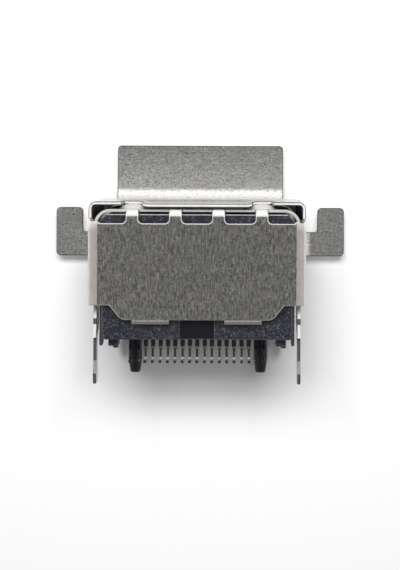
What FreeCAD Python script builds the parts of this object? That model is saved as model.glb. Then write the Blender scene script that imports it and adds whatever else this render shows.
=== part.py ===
"""Elevated board socket for a digital video plug.

A folded inner shell holds a moulded housing with a tongue, a tail spacer behind it and
nineteen contacts. A folded mounting bracket sits over the shell like a saddle.

Frame: +Z up from the board, +Y out of the mouth, +X to the right when seen from behind.
The origin is on the board, midway between the two locating pegs. Sizes are millimetres.
A depth is measured forward from the outer face of the rear flap.
"""
import FreeCAD, Part
import math
import os

V = FreeCAD.Vector

# Mating opening
OPENING_WIDTH = 14.0
OPENING_HEIGHT = 4.55
OPENING_FLOOR_HEIGHT = 6.0
OPENING_TAPER = 1.75
OPENING_TOP_RADIUS = 0.9
OPENING_TAPER_RADIUS = 0.45
MOUTH_DEPTH = 11.7

# Clearances between pieces
FIT = 0.02
PLASTIC_FIT = 0.05

# Inner shell
SHELL_SHEET = 0.23
SHELL_REAR_DEPTH = 1.2
DOME_X = 4.55
DOME_WIDTH = 1.95
DOME_DEPTH = 2.2
DOME_RISE = 0.38
SPRING_X = 3.1
SPRING_WIDTH = 1.7
SPRING_LENGTH = 4.0
SPRING_SLOT = 0.25
SPRING_BITE = 0.32
SPRING_TIP_RUN = 0.9
SPRING_BEND = 1.0
SPRING_MOUTH_SETBACK = 0.9
SEAM_WIDTH = 0.05
SEAM_KEY_WIDTH = 1.3
SEAM_KEY_FLARE = 0.3
SEAM_KEY_REACH = 0.8

# Rear flap of the inner shell, with its strips, wings and tabs
FLAP_BOTTOM_HEIGHT = 3.14
FLAP_CORNER_RISE = 1.0
FLAP_CORNER_RUN = 0.80
FLAP_BOTTOM_HALF_WIDTH = 5.25
FLAP_CORNER_RADIUS = 0.7
WINDOW_DROP = 0.95
WINDOW_RADIUS = 0.3
STRIP_X_INNER = 1.49
STRIP_X_OUTER = 4.49
STRIP_WIDTH = 0.9
STRIP_BEND = 0.42
WING_GAP = 0.12
WING_ROOT = 0.1
WING_BEND = 0.47
WING_LENGTH = 2.0
WING_STEP = 0.12
WING_RADIUS = 0.3
TAB_X_INNER = 1.92
TAB_X_OUTER = 4.48
TAB_DROP = 0.18
TAB_FLARE = 0.09
TAB_BEND = 0.1

# Board legs of the inner shell: stepped shoulder, neck and barb
LEG_WIDTH = 2.0
LEG_STEP_TOP = 3.51
LEG_STEP_BOTTOM = 3.16
LEG_STEP_RUN = 0.16
LEG_SHOULDER_TOP = 2.74
LEG_SHOULDER_BOTTOM = 1.84
LEG_SHOULDER_RUN = 0.4
LEG_NECK_TOP = 1.77
LEG_NECK_WIDTH = 1.0
LEG_BARB_TOP = 0.2
LEG_BARB_DROP = 0.67
LEG_BARB_RUN = 0.35
LEG_BARB_BITE = 0.2
LEG_TIP = 1.4
LEG_TIP_RUN = 0.15

# Mounting bracket
BRACKET_SHEET = 0.25
BRACKET_GAP = 0.28
BRACKET_SIDE_GAP = 0.08
BRACKET_REAR_DEPTH = 0.7
BRACKET_CORNER_RADIUS = 0.25
BRACKET_DIP = 0.15
BRACKET_DIP_HALF_WIDTH = 3.5
BRACKET_DIP_SLOPE = 0.7
BRACKET_DIP_LENGTH = 4.9
BRACKET_DIP_RUNOUT = 0.6
BRACKET_SKIRT_HEIGHT = 6.0
BRACKET_BEND = 0.9
BRACKET_RELIEF = 0.2
WING_NOTCH_GAP = 0.15
DOME_NOTCH_WIDTH = 1.4
WEB_DROP = 0.8
PANEL_SETBACK = 1.2
FLANGE_WIDTH = 12.6
FLANGE_RISE = 3.99
FLANGE_RADIUS = 0.3
EAR_WIDTH = 2.05
EAR_HEIGHT = 3.7
EAR_RADIUS = 0.35
EAR_FLOOR_RISE = 0.9
ARM_REACH = 1.35
ARM_HEIGHT = 1.85

# Moulded housing with the tongue
HOUSING_SIDE_GAP = 0.2
HOUSING_TOP_GAP = 0.12
HOUSING_TOP_CHAMFER = 0.5
HOUSING_STEP = 0.2
HOUSING_STEP_DROP = 0.2
STAND_HEIGHT = 1.72
WALL_THICKNESS = 1.5
STAND_SETBACK = 0.2
TONGUE_WIDTH = 11.0
TONGUE_THICKNESS = 1.6
TONGUE_SETBACK = 1.0
TONGUE_LIFT = 0.1
TONGUE_NOSE = 0.35
FOOT_INSET = 0.07
FOOT_WIDTH = 0.4
FOOT_LENGTH = 0.8
POCKET_COUNT = 4
POCKET_HEIGHT = 2.9
POCKET_RIB = 0.7
POCKET_SETBACK = 0.8

# Locating pegs of the housing
PEG_DEPTH = 4.5
PEG_X = 4.5
PEG_DIAMETER = 1.0
PEG_STRAIGHT = 0.1
PEG_REACH = 1.06
PEG_TIP_DIAMETER = 0.7
PEG_ROOT = 0.5

# Tail spacer
SPACER_REAR_DEPTH = 0.7
SPACER_THICKNESS = 2.65
SPACER_RECESS_HALF_WIDTH = 1.2
SPACER_RECESS_DEPTH = 0.15
SPACER_RECESS_TOP = 3.6
PAD_INNER_X = 1.9
PAD_WIDTH = 3.4
PAD_BOTTOM_HEIGHT = 4.3
PAD_HEIGHT = 4.6
STUB_X = 5.87
STUB_WIDTH = 0.71
STUB_DROP = 0.57
STUB_SETBACK = 0.9
STUB_LENGTH = 1.3
LIP_DROP = 0.47
LIP_LENGTH = 1.0
LIP_SETBACK = 0.3
COMB_HEIGHT = 1.1
CHAMBER_MARGIN = 0.3
CHAMBER_GAP = 0.15

# Contacts
CONTACT_COUNT = 19
CONTACT_SHEET = 0.2
CONTACT_PITCH = 0.5
CONTACT_WIDTH = 0.3
CONTACT_PROUD = 0.03
CONTACT_BEND = 0.15
CONTACT_TIP_SETBACK = 0.4
RISER_DEPTH = 2.6
TAIL_PITCH = 0.52
TAIL_WIDTH = 0.28
TAIL_NECK_WIDTH = 0.16
TAIL_FOOT_WIDTH = 0.22
TAIL_JOG = 0.3
TAIL_JOG_TOP = 1.0
TAIL_JOG_DROP = 0.14
TAIL_JOG_BEND = 0.04
TAIL_FOOT_LENGTH = 0.9
TAIL_FOOT_BEND = 0.08
FAN_BOTTOM_HEIGHT = 3.1
FAN_TOP_HEIGHT = 5.6

# Levels and faces that follow from the sizes above
SHELL_TOP = OPENING_FLOOR_HEIGHT + OPENING_HEIGHT + SHELL_SHEET
SHELL_BOTTOM = OPENING_FLOOR_HEIGHT - SHELL_SHEET
SHELL_HALF_WIDTH = OPENING_WIDTH / 2 + SHELL_SHEET
FLAP_HALF_WIDTH = SHELL_HALF_WIDTH + WING_GAP + SHELL_SHEET
WINDOW_BOTTOM = SHELL_TOP - WINDOW_DROP
WING_BOTTOM = FLAP_BOTTOM_HEIGHT + FLAP_CORNER_RISE
WING_TOP = WINDOW_BOTTOM + WING_STEP
BRACKET_HALF_WIDTH = SHELL_HALF_WIDTH + BRACKET_SIDE_GAP + BRACKET_SHEET
BRACKET_TOP = SHELL_TOP + BRACKET_GAP + BRACKET_SHEET
PANEL_DEPTH = MOUTH_DEPTH - PANEL_SETBACK
SPACER_FRONT_DEPTH = SPACER_REAR_DEPTH + SPACER_THICKNESS
WALL_REAR_DEPTH = SPACER_FRONT_DEPTH + PLASTIC_FIT
WALL_FRONT_DEPTH = WALL_REAR_DEPTH + WALL_THICKNESS
TUBE_REAR_DEPTH = WALL_FRONT_DEPTH + PLASTIC_FIT
STAND_FRONT_DEPTH = PANEL_DEPTH - STAND_SETBACK
STAND_TOP = SHELL_BOTTOM - PLASTIC_FIT
HOUSING_TOP = OPENING_FLOOR_HEIGHT + OPENING_HEIGHT - HOUSING_TOP_GAP
HOUSING_HALF_WIDTH = OPENING_WIDTH / 2 - HOUSING_SIDE_GAP
STAND_HALF_WIDTH = HOUSING_HALF_WIDTH - HOUSING_STEP
STEP_HEIGHT = OPENING_FLOOR_HEIGHT - HOUSING_STEP_DROP
TONGUE_MIDDLE = OPENING_FLOOR_HEIGHT + OPENING_HEIGHT / 2 + TONGUE_LIFT
TONGUE_TIP_DEPTH = MOUTH_DEPTH - TONGUE_SETBACK
CONTACT_TIP_DEPTH = TONGUE_TIP_DEPTH - CONTACT_TIP_SETBACK
CHAMBER_HALF_WIDTH = max(TAIL_PITCH, CONTACT_PITCH) * (CONTACT_COUNT - 1) / 2 + CHAMBER_MARGIN
CHAMBER_REAR_DEPTH = RISER_DEPTH - CHAMBER_GAP


def y_at(depth):
    """Place along Y of a depth forward from the rear flap."""
    return depth - PEG_DEPTH


def block(x, y, z):
    """Box between pairs of limits along each axis."""
    corner = V(min(x), min(y), min(z))
    return Part.makeBox(abs(x[1] - x[0]), abs(y[1] - y[0]), abs(z[1] - z[0]), corner)


def in_yz(x):
    """Map an outline seen from the side to the plane at x."""
    return lambda u, v: V(x, u, v)


def in_xz(y):
    """Map an outline seen from behind to the plane at y."""
    return lambda u, v: V(u, y, v)


def in_xy(z):
    """Map an outline seen from above to the plane at z."""
    return lambda u, v: V(u, v, z)


def unit(a, b):
    """Unit direction from one flat point to another."""
    length = math.hypot(b[0] - a[0], b[1] - a[1])
    return ((b[0] - a[0]) / length, (b[1] - a[1]) / length)


def corner_points(before, point, after, radius):
    """Start, middle and end of the arc that rounds one corner, or the corner alone."""
    back = unit(point, before)
    ahead = unit(point, after)
    half = math.acos(max(-1.0, min(1.0, back[0] * ahead[0] + back[1] * ahead[1]))) / 2
    if radius <= 0 or half > math.pi / 2 - 1e-6:
        return [point]
    run = radius / math.tan(half)
    start = (point[0] + back[0] * run, point[1] + back[1] * run)
    end = (point[0] + ahead[0] * run, point[1] + ahead[1] * run)
    bisector = unit((0, 0), (back[0] + ahead[0], back[1] + ahead[1]))
    inset = radius / math.sin(half) - radius
    middle = (point[0] + bisector[0] * inset, point[1] + bisector[1] * inset)
    return [start, middle, end]


def rounded_edges(corners, place):
    """Lines and arcs through a list of corners, each one point or an arc's three."""
    edges = []
    last = None
    for corner in corners:
        if last is not None and math.dist(last, corner[0]) > 1e-6:
            edges.append(Part.LineSegment(place(*last), place(*corner[0])).toShape())
        if len(corner) == 3:
            edges.append(Part.Arc(*[place(*point) for point in corner]).toShape())
        last = corner[-1]
    return edges


def outline_face(points, radii, place):
    """Closed flat face with its corners rounded; one radius may serve all corners."""
    if not isinstance(radii, (list, tuple)):
        radii = [radii] * len(points)
    count = len(points)
    corners = []
    for index in range(count):
        before = points[index - 1]
        after = points[(index + 1) % count]
        corners.append(corner_points(before, points[index], after, radii[index]))
    corners.append([corners[0][0]])
    return Part.Face(Part.Wire(rounded_edges(corners, place)))


def shifted(points, distance):
    """Open line moved to its left, with its corners kept sharp."""
    directions = [unit(a, b) for a, b in zip(points, points[1:])]
    normals = [(-d[1], d[0]) for d in directions]
    normals = [normals[0]] + normals + [normals[-1]]
    moved = []
    for point, first, second in zip(points, normals, normals[1:]):
        share = distance / (1 + first[0] * second[0] + first[1] * second[1])
        moved.append((point[0] + (first[0] + second[0]) * share,
                      point[1] + (first[1] + second[1]) * share))
    return moved


def sheet_face(points, bends, sheet, place):
    """Section of a folded sheet that lies to the left of an open line.

    Each inner point of the line is a fold, and bends are the radii inside the folds.
    """
    other = shifted(points, sheet)
    near = [[points[0]]]
    far = [[other[0]]]
    for index in range(1, len(points) - 1):
        into = unit(points[index - 1], points[index])
        out = unit(points[index], points[index + 1])
        turns_left = into[0] * out[1] - into[1] * out[0] > 0
        bend = bends[index - 1]
        near_radius = bend + sheet if turns_left else bend
        far_radius = bend if turns_left else bend + sheet
        near.append(corner_points(points[index - 1], points[index], points[index + 1], near_radius))
        far.append(corner_points(other[index - 1], other[index], other[index + 1], far_radius))
    near.append([points[-1]])
    far.append([other[-1]])
    back = [corner[::-1] for corner in reversed(far)]
    return Part.Face(Part.Wire(rounded_edges(near + back + [near[0]], place)))


def along(face, axis, start, end):
    """Solid swept by a face from one place to another along an axis."""
    step = {"x": V(1, 0, 0), "y": V(0, 1, 0), "z": V(0, 0, 1)}[axis]
    moved = face.copy()
    moved.translate(step * start)
    return moved.extrude(step * (end - start))


def both_sides(shape):
    """A shape and its mirror image on the other side of X."""
    return [shape, shape.mirror(V(0, 0, 0), V(1, 0, 0))]


def joined(shapes):
    """One clean solid from overlapping shapes."""
    return shapes[0].fuse(shapes[1:]).removeSplitter()


def cut_all(shape, cutters):
    """A shape with a list of cutters taken away."""
    return shape.cut(Part.makeCompound(cutters))


def opening_outline(grow):
    """Corners and radii of the mating opening, grown outwards by a sheet."""
    half = OPENING_WIDTH / 2 + grow
    floor = OPENING_FLOOR_HEIGHT - grow
    top = OPENING_FLOOR_HEIGHT + OPENING_HEIGHT + grow
    slant = grow * math.tan(math.pi / 8)
    foot = OPENING_WIDTH / 2 - OPENING_TAPER + slant
    shoulder = OPENING_FLOOR_HEIGHT + OPENING_TAPER - slant
    points = [(-foot, floor), (foot, floor), (half, shoulder), (half, top),
              (-half, top), (-half, shoulder)]
    upper = OPENING_TOP_RADIUS + grow
    lower = OPENING_TAPER_RADIUS + grow
    return points, [lower, lower, lower, upper, upper, lower]


def shell_tube():
    """Closed mouth of the inner shell."""
    outer = outline_face(*opening_outline(SHELL_SHEET), in_xz(0))
    inner = outline_face(*opening_outline(0), in_xz(0))
    return along(outer.cut(inner).Faces[0], "y", y_at(TUBE_REAR_DEPTH), y_at(MOUTH_DEPTH))


def shell_hood():
    """Top and straight sides of the inner shell behind the mouth."""
    half = OPENING_WIDTH / 2 + SHELL_SHEET
    path = [(half, SHELL_BOTTOM), (half, SHELL_TOP), (-half, SHELL_TOP), (-half, SHELL_BOTTOM)]
    face = sheet_face(path, [OPENING_TOP_RADIUS, OPENING_TOP_RADIUS], SHELL_SHEET, in_xz(0))
    return along(face, "y", y_at(SHELL_REAR_DEPTH), y_at(TUBE_REAR_DEPTH))


def shell_leg():
    """Right-hand board leg: its side outline, as thick as the sheet."""
    rear = y_at(SHELL_REAR_DEPTH)
    front = rear + LEG_WIDTH
    step = rear - LEG_STEP_RUN
    shoulder = step - LEG_SHOULDER_RUN
    neck_front = rear + LEG_NECK_WIDTH
    barb = rear - LEG_BARB_RUN
    barb_front = neck_front + LEG_BARB_BITE
    tip_front = neck_front - LEG_TIP_RUN
    root = SHELL_BOTTOM + SHELL_SHEET
    behind = [(rear, root), (rear, LEG_STEP_TOP), (step, LEG_STEP_BOTTOM),
              (step, LEG_SHOULDER_TOP), (shoulder, LEG_SHOULDER_BOTTOM), (rear, LEG_NECK_TOP),
              (rear, LEG_BARB_TOP), (barb, -LEG_BARB_DROP), (barb + LEG_TIP_RUN, -LEG_TIP)]
    before = [(tip_front, -LEG_TIP), (barb_front, -LEG_BARB_DROP), (neck_front, LEG_BARB_TOP),
              (neck_front, LEG_NECK_TOP), (front, LEG_SHOULDER_TOP), (front, root)]
    outline = outline_face(behind + before, 0, in_yz(0))
    return along(outline, "x", OPENING_WIDTH / 2, SHELL_HALF_WIDTH)


def flap_panel():
    """Rear flap with its cut lower corners and rounded windows."""
    panel_half = FLAP_HALF_WIDTH - SHELL_SHEET - WING_BEND
    top = SHELL_TOP - STRIP_BEND - SHELL_SHEET
    shoulder = FLAP_BOTTOM_HALF_WIDTH + FLAP_CORNER_RUN
    points = [(-FLAP_BOTTOM_HALF_WIDTH, FLAP_BOTTOM_HEIGHT),
              (FLAP_BOTTOM_HALF_WIDTH, FLAP_BOTTOM_HEIGHT),
              (shoulder, WING_BOTTOM), (panel_half, WING_BOTTOM), (panel_half, top),
              (-panel_half, top), (-panel_half, WING_BOTTOM), (-shoulder, WING_BOTTOM)]
    radii = [FLAP_CORNER_RADIUS, FLAP_CORNER_RADIUS, 0, 0, 0, 0, 0, 0]
    panel = along(outline_face(points, radii, in_xz(0)), "y", y_at(0), y_at(SHELL_SHEET))
    half = STRIP_WIDTH / 2
    spans = [(-STRIP_X_INNER + half, STRIP_X_INNER - half),
             (STRIP_X_INNER + half, STRIP_X_OUTER - half),
             (-STRIP_X_OUTER + half, -STRIP_X_INNER - half),
             (STRIP_X_OUTER + half, panel_half + 2 * WINDOW_RADIUS),
             (-panel_half - 2 * WINDOW_RADIUS, -STRIP_X_OUTER - half)]
    windows = []
    for left, right in spans:
        high = top + WINDOW_RADIUS
        corners = [(left, WINDOW_BOTTOM), (right, WINDOW_BOTTOM), (right, high), (left, high)]
        face = outline_face(corners, [WINDOW_RADIUS, WINDOW_RADIUS, 0, 0], in_xz(0))
        windows.append(along(face, "y", y_at(-SHELL_SHEET), y_at(2 * SHELL_SHEET)))
    return cut_all(panel, windows)


def flap_strip(x):
    """Strip that carries the flap over the rear edge of the shell."""
    rear = y_at(0)
    path = [(y_at(SHELL_REAR_DEPTH + SHELL_SHEET), SHELL_TOP), (rear, SHELL_TOP),
            (rear, WINDOW_BOTTOM)]
    face = sheet_face(path, [STRIP_BEND], SHELL_SHEET, in_yz(0))
    return along(face, "x", x - STRIP_WIDTH / 2, x + STRIP_WIDTH / 2)


def flap_wing():
    """Right-hand wing of the flap, bent forward beside the shell."""
    panel_half = FLAP_HALF_WIDTH - SHELL_SHEET - WING_BEND
    rear = y_at(0)
    front = rear + WING_LENGTH
    path = [(panel_half - WING_ROOT, rear), (FLAP_HALF_WIDTH, rear), (FLAP_HALF_WIDTH, front)]
    bent = along(sheet_face(path, [WING_BEND], SHELL_SHEET, in_xy(0)), "z", WING_BOTTOM, WING_TOP)
    side = [(rear, WING_BOTTOM), (front, WING_BOTTOM), (front, WING_TOP), (rear, WING_TOP)]
    trim = outline_face(side, [0, WING_RADIUS, WING_RADIUS, 0], in_yz(0))
    return bent.common(along(trim, "x", 0, FLAP_HALF_WIDTH))


def flap_tab():
    """Right-hand tab that flares out below the flap."""
    rear = y_at(0)
    path = [(rear, WING_BOTTOM), (rear, FLAP_BOTTOM_HEIGHT),
            (rear - TAB_FLARE, FLAP_BOTTOM_HEIGHT - TAB_DROP)]
    face = sheet_face(path, [TAB_BEND], SHELL_SHEET, in_yz(0))
    return along(face, "x", TAB_X_INNER, TAB_X_OUTER)


def dome():
    """Pressed dome on the right of the shell's top, as a bump and its hollow."""
    radius = (DOME_WIDTH ** 2 / 4 + DOME_RISE ** 2) / (2 * DOME_RISE)
    centre = V(DOME_X, y_at(DOME_DEPTH), SHELL_TOP + DOME_RISE - radius)
    top = OPENING_FLOOR_HEIGHT + OPENING_HEIGHT
    keep = block((DOME_X - DOME_WIDTH, DOME_X + DOME_WIDTH),
                 (centre.y - DOME_WIDTH, centre.y + DOME_WIDTH),
                 (top + SHELL_SHEET / 2, SHELL_TOP + DOME_RISE))
    bump = Part.makeSphere(radius, centre).common(keep)
    hollow = Part.makeSphere(radius - SHELL_SHEET, centre)
    return bump, hollow


def spring(x):
    """Plug spring in the shell's top: the slot round it and the bent finger."""
    root = y_at(MOUTH_DEPTH - SPRING_MOUTH_SETBACK)
    free = root - SPRING_LENGTH
    half = SPRING_WIDTH / 2
    top = SHELL_TOP
    slot = block((x - half - SPRING_SLOT, x + half + SPRING_SLOT),
                 (free - SPRING_SLOT, root),
                 (top - 2 * SHELL_SHEET, top + SHELL_SHEET))
    path = [(root + SHELL_SHEET, top), (root, top),
            (free + SPRING_TIP_RUN, top - SHELL_SHEET - SPRING_BITE),
            (free, top - SPRING_BITE)]
    face = sheet_face(path, [SPRING_BEND, SPRING_TIP_RUN / 2], SHELL_SHEET, in_yz(0))
    return slot, along(face, "x", x - half, x + half)


def seam():
    """Dovetail seam where the two edges of the sheet meet under the mouth."""
    rear = y_at(TUBE_REAR_DEPTH) - SEAM_WIDTH
    front = y_at(MOUTH_DEPTH) + SEAM_WIDTH
    middle = (rear + front) / 2
    root = SEAM_KEY_WIDTH / 2
    wide = root + SEAM_KEY_FLARE
    path = [(0, rear), (0, middle - root), (SEAM_KEY_REACH, middle - wide),
            (SEAM_KEY_REACH, middle + wide), (0, middle + root), (0, front)]
    face = sheet_face(path, [0, 0, 0, 0], SEAM_WIDTH, in_xy(0))
    return along(face, "z", SHELL_BOTTOM - SHELL_SHEET, OPENING_FLOOR_HEIGHT + SHELL_SHEET)


def inner_shell():
    """One folded sheet: mouth, hood, legs, rear flap with wings and tabs, springs."""
    bump, hollow = dome()
    pieces = [shell_tube(), shell_hood(), flap_panel()]
    for x in (-STRIP_X_OUTER, -STRIP_X_INNER, STRIP_X_INNER, STRIP_X_OUTER):
        pieces.append(flap_strip(x))
    for piece in (shell_leg(), flap_wing(), flap_tab(), bump):
        pieces.extend(both_sides(piece))
    body = joined(pieces)
    slots = []
    fingers = []
    middle = V(0, 0, OPENING_FLOOR_HEIGHT + OPENING_HEIGHT / 2)
    for x in (-SPRING_X, SPRING_X):
        slot, finger = spring(x)
        slots.extend([slot, slot.mirror(middle, V(0, 0, 1))])
        fingers.extend([finger, finger.mirror(middle, V(0, 0, 1))])
    body = cut_all(body, slots + both_sides(hollow) + [seam()])
    return joined([body] + fingers)


def pressed_volume(rear, top):
    """Tapered volume that the bracket's top gives up where its middle is pressed down."""
    low = top - BRACKET_DIP
    half = BRACKET_DIP_HALF_WIDTH
    wide = half + BRACKET_DIP_SLOPE
    end = y_at(BRACKET_REAR_DEPTH) + BRACKET_DIP_LENGTH
    front = end + BRACKET_DIP_RUNOUT
    across = outline_face([(-wide, top), (-half, low), (half, low), (wide, top)], 0, in_xz(0))
    lengthwise = outline_face([(rear, low), (end, low), (front, top), (rear, top)], 0, in_yz(0))
    return along(across, "y", rear, front).common(along(lengthwise, "x", -wide, wide))


def bracket_saddle():
    """Top and sides of the bracket over the shell, with the pressed middle."""
    half = BRACKET_HALF_WIDTH
    path = [(half, BRACKET_SKIRT_HEIGHT), (half, BRACKET_TOP), (-half, BRACKET_TOP),
            (-half, BRACKET_SKIRT_HEIGHT)]
    bends = [BRACKET_CORNER_RADIUS, BRACKET_CORNER_RADIUS]
    rear = y_at(BRACKET_REAR_DEPTH)
    front = y_at(PANEL_DEPTH) - BRACKET_BEND - BRACKET_RELIEF
    level = along(sheet_face(path, bends, BRACKET_SHEET, in_xz(0)), "y", rear, front)
    under = pressed_volume(rear, BRACKET_TOP - BRACKET_SHEET)
    return level.fuse(under).cut(pressed_volume(rear - BRACKET_SHEET, BRACKET_TOP))


def wing_notch():
    """Space in the bracket's right side for the flap's wing."""
    front = y_at(WING_LENGTH + WING_NOTCH_GAP)
    return block((SHELL_HALF_WIDTH - BRACKET_SHEET, BRACKET_HALF_WIDTH + BRACKET_SHEET),
                 (y_at(0), front), (0, WING_TOP + WING_NOTCH_GAP))


def dome_notch():
    """Space in the bracket's rear edge, where the right-hand dome stands through it."""
    half = DOME_NOTCH_WIDTH / 2
    return block((DOME_X - half, DOME_X + half), (y_at(0), y_at(DOME_DEPTH) + half),
                 (SHELL_TOP, BRACKET_TOP + BRACKET_SHEET))


def corner_web():
    """Web that closes the right-hand corner between bracket and shell at the front."""
    front = y_at(PANEL_DEPTH) - BRACKET_BEND - BRACKET_RELIEF
    rear = front - BRACKET_SHEET
    start = BRACKET_DIP_HALF_WIDTH + BRACKET_DIP_SLOPE
    plate = block((start, BRACKET_HALF_WIDTH - BRACKET_SHEET / 2), (rear, front),
                  (SHELL_TOP - WEB_DROP, BRACKET_TOP - BRACKET_SHEET / 2))
    shell = outline_face(*opening_outline(SHELL_SHEET + FIT), in_xz(0))
    return plate.cut(along(shell, "y", rear - FIT, front + FIT))


def panel_flange():
    """Upright flange that meets the panel above the mouth."""
    half = FLANGE_WIDTH / 2
    rear = y_at(PANEL_DEPTH)
    start = rear - BRACKET_BEND - 2 * BRACKET_RELIEF
    top = BRACKET_TOP + FLANGE_RISE
    path = [(rear, top), (rear, BRACKET_TOP), (start, BRACKET_TOP)]
    face = sheet_face(path, [BRACKET_BEND], BRACKET_SHEET, in_yz(0))
    bent = along(face, "x", -half, half)
    low = SHELL_TOP
    outline = [(-half, low), (half, low), (half, top), (-half, top)]
    trim = outline_face(outline, [0, 0, FLANGE_RADIUS, FLANGE_RADIUS], in_xz(0))
    return bent.common(along(trim, "y", start, rear + BRACKET_SHEET))


def panel_ear():
    """Right-hand ear and its arm, bent out from the bracket's side."""
    rear = y_at(PANEL_DEPTH)
    start = rear - BRACKET_BEND - 2 * BRACKET_RELIEF
    inner = BRACKET_HALF_WIDTH + ARM_REACH
    outer = inner + EAR_WIDTH
    floor = OPENING_FLOOR_HEIGHT + EAR_FLOOR_RISE
    arm_top = floor + ARM_HEIGHT
    ear_top = floor + EAR_HEIGHT
    path = [(BRACKET_HALF_WIDTH, start), (BRACKET_HALF_WIDTH, rear), (outer, rear)]
    bent = along(sheet_face(path, [BRACKET_BEND], BRACKET_SHEET, in_xy(0)), "z", floor, ear_top)
    near = BRACKET_HALF_WIDTH - BRACKET_SHEET
    outline = [(near, floor), (outer, floor), (outer, ear_top), (inner, ear_top),
               (inner, arm_top), (near, arm_top)]
    radii = [0, EAR_RADIUS, EAR_RADIUS, EAR_RADIUS, EAR_RADIUS / 2, 0]
    trim = along(outline_face(outline, radii, in_xz(0)), "y", start, rear + BRACKET_SHEET)
    return bent.common(trim)


def mounting_bracket():
    """One folded sheet: saddle over the shell, top flange and two ears."""
    body = cut_all(bracket_saddle(), both_sides(wing_notch()) + both_sides(dome_notch()))
    return joined([body, panel_flange()] + both_sides(corner_web()) + both_sides(panel_ear()))


def chamfered_slab(half, bottom, rear, front):
    """Upper moulded block with its top corners cut, inside the shell's corners."""
    cut = HOUSING_TOP_CHAMFER
    points = [(-half, bottom), (half, bottom), (half, HOUSING_TOP - cut), (half - cut, HOUSING_TOP),
              (cut - half, HOUSING_TOP), (-half, HOUSING_TOP - cut)]
    return along(outline_face(points, 0, in_xz(0)), "y", rear, front)


def tongue():
    """Tongue that carries the contacts in the mouth."""
    low = TONGUE_MIDDLE - TONGUE_THICKNESS / 2
    high = TONGUE_MIDDLE + TONGUE_THICKNESS / 2
    rear = y_at(WALL_FRONT_DEPTH)
    front = y_at(TONGUE_TIP_DEPTH)
    nose = TONGUE_NOSE
    points = [(rear - FIT, low), (front - nose, low), (front, low + nose), (front, high - nose),
              (front - nose, high), (rear - FIT, high)]
    return along(outline_face(points, 0, in_yz(0)), "x", -TONGUE_WIDTH / 2, TONGUE_WIDTH / 2)


def peg():
    """Right-hand locating peg, with its taper below the board's face."""
    shank_length = PEG_STRAIGHT + STAND_HEIGHT + PEG_ROOT
    shank = Part.makeCylinder(PEG_DIAMETER / 2, shank_length, V(PEG_X, 0, -PEG_STRAIGHT))
    taper = Part.makeCone(PEG_TIP_DIAMETER / 2, PEG_DIAMETER / 2, PEG_REACH - PEG_STRAIGHT,
                          V(PEG_X, 0, -PEG_REACH))
    return shank.fuse(taper)


def stand_pockets():
    """Pockets that core the stand from below, between ribs."""
    half = STAND_HALF_WIDTH - FOOT_INSET - FOOT_WIDTH
    pitch = (2 * half + POCKET_RIB) / POCKET_COUNT
    rear = y_at(WALL_FRONT_DEPTH) + POCKET_SETBACK
    front = y_at(STAND_FRONT_DEPTH) - POCKET_SETBACK
    pockets = []
    for index in range(POCKET_COUNT):
        left = -half + index * pitch
        pockets.append(block((left, left + pitch - POCKET_RIB), (rear, front),
                             (0, STAND_HEIGHT + POCKET_HEIGHT)))
    return pockets


def contact_rows():
    """Name, place on the tongue, place at the board and row of each contact."""
    middle = (CONTACT_COUNT + 1) / 2
    rows = []
    for number in range(1, CONTACT_COUNT + 1):
        step = number - middle
        rows.append((f"contact_{number:02d}", step * CONTACT_PITCH, step * TAIL_PITCH,
                     number % 2 == 1))
    return rows


def strip_face_height(on_top):
    """Outer face of a contact where it lies on the tongue."""
    reach = TONGUE_THICKNESS / 2 + CONTACT_PROUD
    return TONGUE_MIDDLE + reach if on_top else TONGUE_MIDDLE - reach


def contact_channel(x, on_top):
    """Groove in the tongue and hole in the wall for one contact."""
    half = CONTACT_WIDTH / 2 + FIT
    face = strip_face_height(on_top)
    inward = -1 if on_top else 1
    floor = face + inward * (CONTACT_SHEET + FIT)
    roof = face - inward * FIT
    open_side = TONGUE_MIDDLE - inward * TONGUE_THICKNESS
    rear = y_at(WALL_REAR_DEPTH) - FIT
    front = y_at(CONTACT_TIP_DEPTH) + FIT
    hole = block((x - half, x + half), (rear, y_at(WALL_FRONT_DEPTH)), (floor, roof))
    groove = block((x - half, x + half), (y_at(WALL_FRONT_DEPTH), front), (floor, open_side))
    return [hole, groove]


def housing():
    """One moulded piece: wall, stand, tongue, feet and locating pegs."""
    rear = y_at(WALL_REAR_DEPTH)
    wall_front = y_at(WALL_FRONT_DEPTH)
    stand_front = y_at(STAND_FRONT_DEPTH)
    half = STAND_HALF_WIDTH
    wall = chamfered_slab(HOUSING_HALF_WIDTH, STEP_HEIGHT, rear, wall_front)
    stand = block((-half, half), (rear, stand_front), (STAND_HEIGHT, STAND_TOP))
    core = block((-half, half), (rear, wall_front), (STAND_HEIGHT, STEP_HEIGHT + FIT))
    foot_side = half - FOOT_INSET
    foot = block((foot_side - FOOT_WIDTH, foot_side), (stand_front - FOOT_LENGTH, stand_front),
                 (0, STAND_HEIGHT + FIT))
    body = joined([wall, core, stand, tongue()] + both_sides(foot) + both_sides(peg()))
    cutters = stand_pockets()
    for _, x, _, on_top in contact_rows():
        cutters.extend(contact_channel(x, on_top))
    return cut_all(body, cutters)


def spacer_chamber():
    """Space in the spacer for the risers, closed in front by the housing."""
    front = y_at(SPACER_FRONT_DEPTH) + FIT
    rear = y_at(CHAMBER_REAR_DEPTH)
    comb_top = STAND_HEIGHT + COMB_HEIGHT
    cutters = [block((-CHAMBER_HALF_WIDTH, CHAMBER_HALF_WIDTH), (rear, front),
                     (comb_top, strip_face_height(True) + CHAMBER_MARGIN))]
    half = TAIL_WIDTH / 2 + FIT
    for _, _, x, _ in contact_rows():
        cutters.append(block((x - half, x + half), (rear, front), (0, comb_top + FIT)))
    return cutters


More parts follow.
